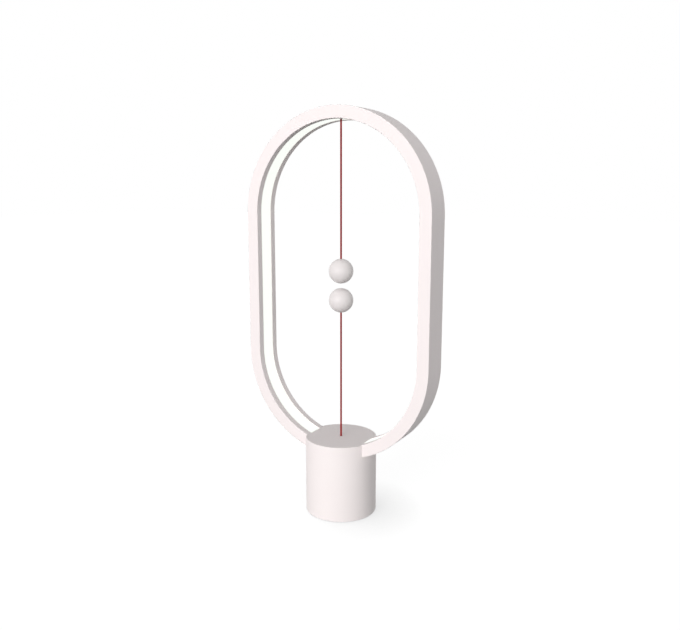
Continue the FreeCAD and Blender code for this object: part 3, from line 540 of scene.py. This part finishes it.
# Brass strip, stamped: the contacts, bright with rolling lines.
CONTACT = Metal("brass_strip_stamped", "#DDBB66", "#CDA955", 0.26, 0.25, 0.004, ToolMarks.ROLLED)
# Music wire, drawn and coiled: grey with lines along the wire.
SPRING = Metal("spring_steel_drawn", "#B9BABD", "#A8A9AD", 0.27, 0.15, 0.003, ToolMarks.DRAWN)


@dataclass
class SubAssembly:
    """Pieces of the lamp that are dressed together.

    Attributes:
        nodes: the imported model's pieces by name.
        finishes: the finish of each of its pieces that keeps its own shape.
    """

    nodes: dict[str, bpy.types.Object]
    finishes: ClassVar[dict[str, Finish]] = {}

    def build(self) -> None:
        """Puts each piece's finish on it and reports it."""
        for name, finish in self.finishes.items():
            finish.put_on(self.nodes[name])
            log.info("%s: %s", name, finish.name)


class CordEnd(Enum):
    """How a length of cord is closed at its ends."""

    CUT = "cut flat, out of sight in what holds it"
    ROUND = "domed, where the cord bends at a pivot"


@dataclass
class BraidedCord:
    """Round cord braided from strands that cross over and under each other.

    Attributes:
        radius: half of the cord's thickness.
        strands: strands laid each way round.
        pitch: length in which a strand goes once round the cord.
        around: faces round the cord.
        step: length of a face along the cord.
        relief: depth of the gaps between the strands.
        lift: how far a strand rises and dips as it crosses the others, as a share.
        curve_points: points that are read from the curve between two of its control points.
        fewest_rings: faces along even the shortest length of cord.
        tip: the square of a dome's least width, as a share, so that it doesn't end in a point.
        number_gap: what lies between two strands' numbers, so that each gets a tone of its own.
        other_way: what is added to the numbers of the strands that run the other way round.
    """

    radius: float = 0.9 * MM
    strands: int = 8
    pitch: float = 5.6 * MM
    around: int = 48
    step: float = 0.12 * MM
    relief: float = 0.1 * MM
    lift: float = 0.35
    curve_points: ClassVar[int] = 64
    fewest_rings: ClassVar[int] = 4
    tip: ClassVar[float] = 0.06
    number_gap: ClassVar[float] = 3.7
    other_way: ClassVar[float] = 31.0

    def route(self, points: list[tuple[float, float, float]]) -> list[Vector]:
        """Reads the cord's line from a smooth curve through its control points.

        Args:
            points: the route's points, from where the cord leaves the lamp.

        Returns:
            Points along the line, one for each ring of faces.
        """
        curve = bpy.data.curves.new("route", "CURVE")
        curve.dimensions = "3D"
        curve.resolution_u = self.curve_points
        spline = curve.splines.new("NURBS")
        spline.points.add(len(points) - 1)
        for control, point in zip(spline.points, points):
            control.co = (*point, 1.0)
        spline.order_u = 3
        spline.use_endpoint_u = True
        holder = bpy.data.objects.new("route", curve)
        bpy.context.scene.collection.objects.link(holder)
        sampled = bpy.data.meshes.new_from_object(holder)
        line = np.array([v.co for v in sampled.vertices])
        bpy.data.objects.remove(holder)
        bpy.data.curves.remove(curve)
        bpy.data.meshes.remove(sampled)
        runs = np.linalg.norm(np.diff(line, axis=0), axis=1)
        reach = np.concatenate(([0.0], np.cumsum(runs)))
        count = max(self.fewest_rings, round(reach[-1] / self.step))
        places = np.linspace(0.0, reach[-1], count + 1)
        spread = [np.interp(places, reach, line[:, k]) for k in range(3)]
        return [Vector(p) for p in zip(*spread)]

    def strand_at(self, turn: np.ndarray, rise: np.ndarray) -> tuple[np.ndarray, np.ndarray]:
        """Finds the strand on top at places of the cord's skin.

        Args:
            turn: place round the cord, in turns.
            rise: place along the cord, in pitches.

        Returns:
            The height from 0 to 1, and whether the strand that rises clockwise is on top.
        """
        one, other = self.strands * (turn + rise), self.strands * (turn - rise)
        side = np.where((np.floor(one) + np.floor(other)) % 2 == 0, 1.0, -1.0)
        share_one, share_other = one % 1.0, other % 1.0
        round_one = np.sqrt(1 - (2 * share_one - 1) ** 2)
        round_other = np.sqrt(1 - (2 * share_other - 1) ** 2)
        high_one = round_one + self.lift * side * np.sin(pi * share_other)
        high_other = round_other - self.lift * side * np.sin(pi * share_one)
        return np.maximum(high_one, high_other) / (1 + self.lift), high_one >= high_other

    def rings(self, line: list[Vector], ends: CordEnd) -> np.ndarray:
        """Places the skin's points round the line.

        Args:
            line: points along the cord's middle.
            ends: how its ends are closed.

        Returns:
            An array of rings by points round by x, y, z.
        """
        middle = np.array(line)
        ahead = np.gradient(middle, axis=0)
        ahead /= np.linalg.norm(ahead, axis=1)[:, None]
        side = np.array(Vector(ahead[0]).orthogonal().normalized())
        turn = np.arange(self.around) / self.around
        length = (line[-1] - line[0]).length
        skin = []
        for k, (point, forward) in enumerate(zip(middle, ahead)):
            side = side - forward * (side @ forward)
            side /= np.linalg.norm(side)
            up = np.cross(forward, side)
            height, _ = self.strand_at(turn, np.full(self.around, k * self.step / self.pitch))
            reach = self.radius - self.relief * (1 - height)
            if ends is CordEnd.ROUND:
                share = 2 * k / (len(line) - 1) - 1
                dome = max(self.tip, 1 - share * share) ** 0.5
                reach = reach * dome * length / (2 * self.radius)
            skin.append(
                point
                + np.outer(reach * np.cos(2 * pi * turn), side)
                + np.outer(reach * np.sin(2 * pi * turn), up)
            )
        return np.array(skin)

    def weave(self, name: str, line: list[Vector], ends: CordEnd = CordEnd.CUT) -> bpy.types.Object:
        """Makes a length of cord as a closed mesh.

        Args:
            name: the piece's name.
            line: points along the cord's middle.
            ends: how its ends are closed.

        Returns:
            The piece, with the strand attribute that the thread's finish reads.
        """
        skin = self.rings(line, ends)
        count, around = skin.shape[:2]
        points = [*map(tuple, skin.reshape(-1, 3)), tuple(line[0]), tuple(line[-1])]
        first, last = count * around, count * around + 1
        ring, step = np.meshgrid(np.arange(count - 1), np.arange(around), indexing="ij")
        ahead = (step + 1) % around
        here, next_ring = ring * around, (ring + 1) * around
        corners = [here + step, here + ahead, next_ring + ahead, next_ring + step]
        quads = np.stack(corners, axis=-1).reshape(-1, 4)
        end_ring = (count - 1) * around
        caps = [(first, (k + 1) % around, k) for k in range(around)]
        caps += [(last, end_ring + k, end_ring + (k + 1) % around) for k in range(around)]
        mesh = bpy.data.meshes.new(name)
        mesh.from_pydata(points, [], [*map(tuple, quads), *caps])
        self.mark_strands(mesh, ring.ravel(), step.ravel())
        mesh.shade_smooth()
        piece = bpy.data.objects.new(name, mesh)
        bpy.context.scene.collection.objects.link(piece)
        CORD.put_on(piece)
        return piece

    def mark_strands(self, mesh: bpy.types.Mesh, ring: np.ndarray, step: np.ndarray) -> None:
        """Writes the place on the top strand at each corner of each face.

        Args:
            mesh: the cord's mesh, whose first faces are its rings.
            ring: each of those faces' ring.
            step: each of those faces' place round the ring.
        """
        rise_step = self.step / self.pitch
        turn, rise = (step + 0.5) / self.around, (ring + 0.5) * rise_step
        _, clockwise = self.strand_at(turn, rise)
        number = np.floor(self.strands * np.where(clockwise, turn + rise, turn - rise))
        tone = (number % self.strands) * self.number_gap + np.where(clockwise, 0.0, self.other_way)
        values = np.zeros((len(mesh.loops), 3), np.float32)
        for corner, (right, up) in enumerate(((0, 0), (1, 0), (1, 1), (0, 1))):
            turn, rise = (step + right) / self.around, (ring + up) * rise_step
            one, other = self.strands * (turn + rise), self.strands * (turn - rise)
            faces = slice(corner, 4 * len(ring), 4)
            values[faces, 0] = np.where(clockwise, one, other) - number
            values[faces, 1] = np.where(clockwise, other, one)
            values[faces, 2] = tone
        strand = mesh.attributes.new("strand", "FLOAT_VECTOR", "CORNER")
        strand.data.foreach_set("vector", values.ravel())

    def piece_for(self, node: str, body: str, ends: CordEnd = CordEnd.CUT) -> bpy.types.Object:
        """Braids a short straight length in the place of one of the model's plain ones.

        Args:
            node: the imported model's piece.
            body: the body that it rides on.
            ends: how its ends are closed.

        Returns:
            The braided piece.
        """
        low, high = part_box(node)
        x, y = (low[0] + high[0]) / 2, (low[1] + high[1]) / 2
        spare = self.radius - (high[2] - low[2]) / 2 if ends is CordEnd.ROUND else 0.0
        points = [(x, y, low[2] - spare), (x, y, (low[2] + high[2]) / 2), (x, y, high[2] + spare)]
        piece = self.weave(f"{node}_braid", self.route(points), ends)
        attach(piece, body)
        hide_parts(node)
        log.info("%s: braided", piece.name)
        return piece


@dataclass
class LightLoop(SubAssembly):
    """The upright loop: painted channel, lit strip and the light's own strip of chips."""

    finishes: ClassVar[dict[str, Finish]] = {
        "frame_channel": LOOP_COAT,
        "diffuser_strip": DIFFUSER,
        "led_strip": STRIP_BOARD,
        "led_chips": PHOSPHOR,
        "led_leads": WIRE_SLEEVE,
    }


@dataclass
class HangingBall(SubAssembly):
    """The upper ball on its cord, from the bush in the top of the loop.

    Attributes:
        cord: the braid that it hangs on.
        mouth: where the cord leaves the bush. Not used.
    """

    cord: BraidedCord = field(default_factory=BraidedCord)
    mouth: tuple[float, float, float] = (0.0, 0.0, 0.3864)
    finishes: ClassVar[dict[str, Finish]] = {
        "upper_anchor": BUSH,
        "upper_stop_bead": CRIMP,
        "upper_ball_cord_half": BALL_SHELL,
        "upper_ball_magnet_half": BALL_SHELL,
        "upper_magnet": MAGNET,
        "upper_crimp": CRIMP,
    }

    def build(self) -> None:
        """Dresses the solid pieces and hangs the braided cord between bush and ball."""
        super().build()
        self.cord.piece_for("upper_cord_tail", "base")
        self.cord.piece_for("upper_cord_bend", "upper_bend", CordEnd.ROUND)
        low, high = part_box("upper_cord")
        heights = (high[2], (low[2] + high[2]) / 2, low[2])
        route = self.cord.route([(0.0, 0.0, z) for z in heights])
        piece = self.cord.weave("upper_cord_braid", route)
        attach(piece, "upper_pendulum")
        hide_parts("upper_cord")
        log.info("%s: %.1f mm", piece.name, (high[2] - low[2]) / MM)


@dataclass
class TetheredBall(SubAssembly):
    """The lower ball on its cord, from the guide in the base's top.

    Attributes:
        cord: the braid that tethers it.
        mouth: where the cord leaves the base. Not used.
        pivot: the height that the cord leans about, and folds down to as the ball drops. Not used.
        drop: how far the ball can fall on to the base. Not used.
    """

    cord: BraidedCord = field(default_factory=BraidedCord)
    mouth: tuple[float, float, float] = (0.0, 0.0, 0.077)
    pivot: float = 0.0766
    drop: float = 0.123
    finishes: ClassVar[dict[str, Finish]] = {
        "lower_ball_cord_half": BALL_SHELL,
        "lower_ball_magnet_half": BALL_SHELL,
        "lower_magnet": MAGNET,
        "lower_crimp": CRIMP,
        "lower_cord_crimp": CRIMP,
    }

    def build(self) -> None:
        """Dresses the solid pieces and runs the braided cord from base to ball."""
        super().build()
        self.cord.piece_for("lower_cord_tail", "switch_slide")
        self.cord.piece_for("lower_cord_bend", "lower_bend", CordEnd.ROUND)
        low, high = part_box("lower_cord")
        heights = (low[2], (low[2] + high[2]) / 2, high[2])
        route = self.cord.route([(0.0, 0.0, z) for z in heights])
        piece = self.cord.weave("lower_cord_braid", route)
        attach(piece, "lower_tether")
        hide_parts("lower_cord")
        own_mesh(piece)


@dataclass
class WeightedBase(SubAssembly):
    """The round base with its cover, the saddle that carries the loop, the weight and the foot."""

    finishes: ClassVar[dict[str, Finish]] = {
        "base_housing": BASE_SHELL,
        "top_cover": BASE_TOP,
        "cord_guide": BUSH,
        "frame_saddle": INNER_FRAME,
        "saddle_screws": SCREW,
        "bottom_cover": UNDERSIDE,
        "bottom_screws": SCREW,
        "foot_pad": FOOT,
        "ballast_weight": BALLAST,
    }


@dataclass
class ControlBoard(SubAssembly):
    """The board on its stand-offs, what is soldered to it, and the power socket."""

    finishes: ClassVar[dict[str, Finish]] = {
        "board_standoffs": CONTACT,
        "control_board": BOARD,
        "board_screws": SCREW,
        "board_components": CHIP_BODY,
        "usb_socket": SOCKET_SHELL,
        "usb_insert": SOCKET_INSERT,
    }


@dataclass
class PullSwitch(SubAssembly):
    """The switch that the lower cord pulls."""

    finishes: ClassVar[dict[str, Finish]] = {
        "switch_case": SWITCH_CASE,
        "switch_lid": SWITCH_CASE,
        "switch_screws": SCREW,
        "switch_slider": SLIDER,
        "slider_contact": CONTACT,
        "fixed_contacts": CONTACT,
        "switch_spring": SPRING,
        "switch_leads": WIRE_SLEEVE,
    }


@dataclass(frozen=True)
class SoftLamp:
    """One broad soft lamp.

    Attributes:
        name: the lamp's name.
        azimuth: its direction in degrees from +X.
        height: its angle above the middle of the object, in degrees.
        level: how bright it makes a white surface that faces it, where 1 is white.
        colour: its colour as an sRGB hex value.
        side: its width and height.
        distance: from the lamp to the middle of the object.
    """

    name: str
    azimuth: float
    height: float
    level: float
    colour: str
    side: tuple[float, float] = (2.4, 1.3)
    distance: float = 5.0

    def place(self, middle: Vector) -> None:
        """Places the lamp, turned to the middle of the object.

        Args:
            middle: the middle of the object.
        """
        turn, rise = radians(self.azimuth), radians(self.height)
        way = Vector((cos(turn) * cos(rise), sin(turn) * cos(rise), sin(rise)))
        data = bpy.data.lights.new(self.name, "AREA")
        data.shape = "RECTANGLE"
        data.size, data.size_y = self.side
        data.energy = self.level * (pi * self.distance) ** 2
        data.color = hex_to_linear(self.colour)[:3]
        lamp = bpy.data.objects.new(self.name, data)
        lamp.location = middle + way * self.distance
        lamp.rotation_euler = way.to_track_quat("Z", "Y").to_euler()
        bpy.context.scene.collection.objects.link(lamp)


def seen_directly(tree: bpy.types.NodeTree) -> bpy.types.NodeSocket:
    """Tells the rays that show a surface to the eye from those that only carry its light.

    Args:
        tree: the node tree of the floor or the sky.

    Returns:
        1 for rays from the camera, from a reflection or through glass, and 0 for the rest.
    """
    path = add_node(tree, "ShaderNodeLightPath").outputs
    shiny = calculate(tree, "MAXIMUM", path["Is Glossy Ray"], path["Is Transmission Ray"])
    return calculate(tree, "MAXIMUM", path["Is Camera Ray"], shiny)


@dataclass(frozen=True)
class Floor:
    """Matt paper, white to the eye, that keeps the lamp's shadow, with a painted shade at its foot.

    Attributes:
        side: its length and width.
        depth: how far it is below the foot, so that the two don't fight.
        paper: how much of the light that falls on it the paper gives back.
        painted_shade_lean: the way that the painted shade at the foot looks for open sky. It leans
            to
        the front left, so the painted shade lies at the right.
        reach: how far from the foot the painted shade can come from.
        samples: rays that look for open sky at each point, for the painted shade.
        painted_shade_level: how bright the floor is painted to the eye where the foot hides all the
            sky.
        lit: how bright it is near the lamp where nothing is hidden.
        white: how bright it is far from the lamp.
        near: up to this distance from the lamp's middle it takes the painted shade in full.
        far: from here on it takes none.
    """

    side: float = 12.0
    depth: float = 0.1 * MM
    paper: float = 0.14
    painted_shade_lean: tuple[float, float, float] = (-0.68, -0.42, 0.6)
    reach: float = 0.05
    samples: int = 8
    painted_shade_level: float = 0.64
    lit: float = 0.935
    white: float = 0.96
    near: float = 0.12
    far: float = 0.6

    def lay(self) -> None:
        """Lays the paper under the lamp."""
        bpy.ops.object.select_all(action="DESELECT")
        bpy.ops.mesh.primitive_plane_add(size=self.side, location=(0.0, 0.0, -self.depth))
        plane = bpy.context.active_object
        plane.name = "studio_floor"
        plane.data.materials.append(self.make_paper())

    def make_paper(self) -> bpy.types.Material:
        """Makes the paper's material: matt for the light, and near white for the eye with a painted
        shade at the foot.

        Returns:
            The material.
        """
        material = bpy.data.materials.new("studio_paper_matt")
        material.use_nodes = True
        tree = material.node_tree
        tree.nodes.clear()
        paper = add_node(tree, "ShaderNodeBsdfDiffuse", None, {"Color": grey(self.paper)})
        glow = add_node(
            tree,
            "ShaderNodeEmission",
            None,
            {"Color": self.brightness(tree), "Strength": seen_directly(tree)},
        )
        both = add_node(
            tree, "ShaderNodeAddShader", None, {0: paper.outputs[0], 1: glow.outputs[0]}
        )
        add_node(tree, "ShaderNodeOutputMaterial", None, {"Surface": both.outputs[0]})
        return material

    def brightness(self, tree: bpy.types.NodeTree) -> bpy.types.NodeSocket:
        """Gives how bright the paper is to the eye: painted shade at the foot, and white far off.

        Args:
            tree: the paper's node tree.

        Returns:
            The brightness's output, as a grey.
        """
        # Painted shade: the glow that the eye sees is darkened where an ambient-occlusion test
        # finds the sky hidden by the foot.
        painted_shade_lean = add_node(tree, "ShaderNodeCombineXYZ", None, dict(enumerate(self.painted_shade_lean)))
        open_sky = add_node(
            tree,
            "ShaderNodeAmbientOcclusion",
            {"samples": self.samples},
            {"Distance": self.reach, "Normal": painted_shade_lean.outputs[0]},
        )
        # The painted shade: from its darkest where all the sky is hidden to the open glow.
        shade = add_node(
            tree,
            "ShaderNodeMapRange",
            None,
            {"Value": open_sky.outputs["AO"], "To Min": self.painted_shade_level, "To Max": self.lit},
        )
        place = add_node(tree, "ShaderNodeTexCoord").outputs["Object"]
        away = add_node(tree, "ShaderNodeVectorMath", {"operation": "LENGTH"}, {0: place})
        share = add_node(
            tree,
            "ShaderNodeMapRange",
            {"interpolation_type": "SMOOTHSTEP"},
            {"Value": away.outputs["Value"], "From Min": self.near, "From Max": self.far},
        )
        return mix_colours(tree, share.outputs[0], shade.outputs[0], grey(self.white))


@dataclass(frozen=True)
class Sky:
    """Soft light from overhead and from pale walls all round, and plain white to the eye.

    Attributes:
        overhead: the brightness overhead.
        walls: how much brighter than that the walls are.
        full: the walls are at their brightest below this height, as the sine of its angle.
        top: they end at this height, as the sine of its angle.
        tint: the colour of the light, as linear red, green, blue and an alpha of 1.
    """

    overhead: float = 0.27
    walls: float = 1.18
    full: float = 0.12
    top: float = 0.42
    tint: tuple[float, float, float, float] = (0.98, 1.0, 1.0, 1.0)

    def hang(self) -> None:
        """Makes the world's light. A world's Generated coordinates are the ray's direction."""
        world = bpy.data.worlds.new("studio_sky")
        bpy.context.scene.world = world
        world.use_nodes = True
        tree = world.node_tree
        tree.nodes.clear()
        way = add_node(tree, "ShaderNodeTexCoord").outputs["Generated"]
        rise = add_node(tree, "ShaderNodeSeparateXYZ", None, {0: way}).outputs[2]
        band = add_node(
            tree,
            "ShaderNodeMapRange",
            {"interpolation_type": "SMOOTHSTEP"},
            {
                "Value": rise,
                "From Min": self.full,
                "From Max": self.top,
                "To Min": self.overhead + self.walls,
                "To Max": self.overhead,
            },
        )
        light = add_node(
            tree, "ShaderNodeBackground", None, {"Color": self.tint, "Strength": band.outputs[0]}
        )
        white = add_node(tree, "ShaderNodeBackground", None, {"Color": grey(1.0)})
        mix = add_node(
            tree,
            "ShaderNodeMixShader",
            None,
            {0: seen_directly(tree), 1: light.outputs[0], 2: white.outputs[0]},
        )
        add_node(tree, "ShaderNodeOutputWorld", None, {"Surface": mix.outputs[0]})


@dataclass(frozen=True)
class Viewpoint:
    """The camera: a little above the balls, to the right of the loop's front.

    Attributes:
        place: where it stands.
        down: how far it looks down, in degrees.
        turn: how far it is turned from the loop's back towards the left, in degrees.
        lens: its focal length in millimetres.
        sensor: its sensor's width in millimetres.
        shift: how far the frame moves sideways, as a share of its width.
        clip: the nearest and farthest distance that it sees.
    """

    place: tuple[float, float, float] = (0.3497, -0.6010, 0.32765)
    down: float = 10.36
    turn: float = 30.19
    lens: float = 38.25
    sensor: float = 36.0
    shift: float = -0.00163
    clip: tuple[float, float] = (0.01, 100.0)

    def set_up(self) -> None:
        """Makes the camera and gives it to the scene."""
        data = bpy.data.cameras.new("camera")
        data.lens = self.lens
        data.sensor_width = self.sensor
        data.sensor_fit = "HORIZONTAL"
        data.shift_x = self.shift
        data.clip_start, data.clip_end = self.clip
        camera = bpy.data.objects.new("camera", data)
        camera.location = self.place
        camera.rotation_euler = (radians(90 - self.down), 0.0, radians(self.turn))
        bpy.context.scene.collection.objects.link(camera)
        bpy.context.scene.camera = camera


@dataclass(frozen=True)
class Studio:
    """What stands round the lamp: floor, sky, two broad soft lamps and the camera.

    Attributes:
        floor: the pale floor.
        sky: the light from all round.
        lamps: the main lamp low at the front, and a weaker one at the right.
        middle: the middle of the object, which the lamps point at.
        viewpoint: the camera.
    """

    floor: Floor = Floor()
    sky: Sky = Sky()
    lamps: tuple[SoftLamp, ...] = (
        SoftLamp("main_lamp", -91.0, 12.0, 0.69, "#FFFEFE"),
        SoftLamp("side_lamp", -15.0, 11.0, 0.05, "#FDFFFF"),
    )
    middle: tuple[float, float, float] = (0.0, 0.0, 0.2)
    viewpoint: Viewpoint = Viewpoint()

    def build(self) -> None:
        """Sets up floor, sky, lamps and camera."""
        self.floor.lay()
        self.sky.hang()
        for lamp in self.lamps:
            lamp.place(Vector(self.middle))
        self.viewpoint.set_up()
        bpy.context.scene.view_settings.view_transform = "Standard"
        log.info("studio: floor, sky, lamps and camera")


def main() -> None:
    """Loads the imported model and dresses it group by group."""
    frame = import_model()
    for group in (LightLoop, HangingBall, TetheredBall, WeightedBase, ControlBoard, PullSwitch):
        group(frame["nodes"]).build()
    Studio().build()


if __name__ == "__main__":
    logging.basicConfig(level=logging.INFO, format="%(message)s")
    main()
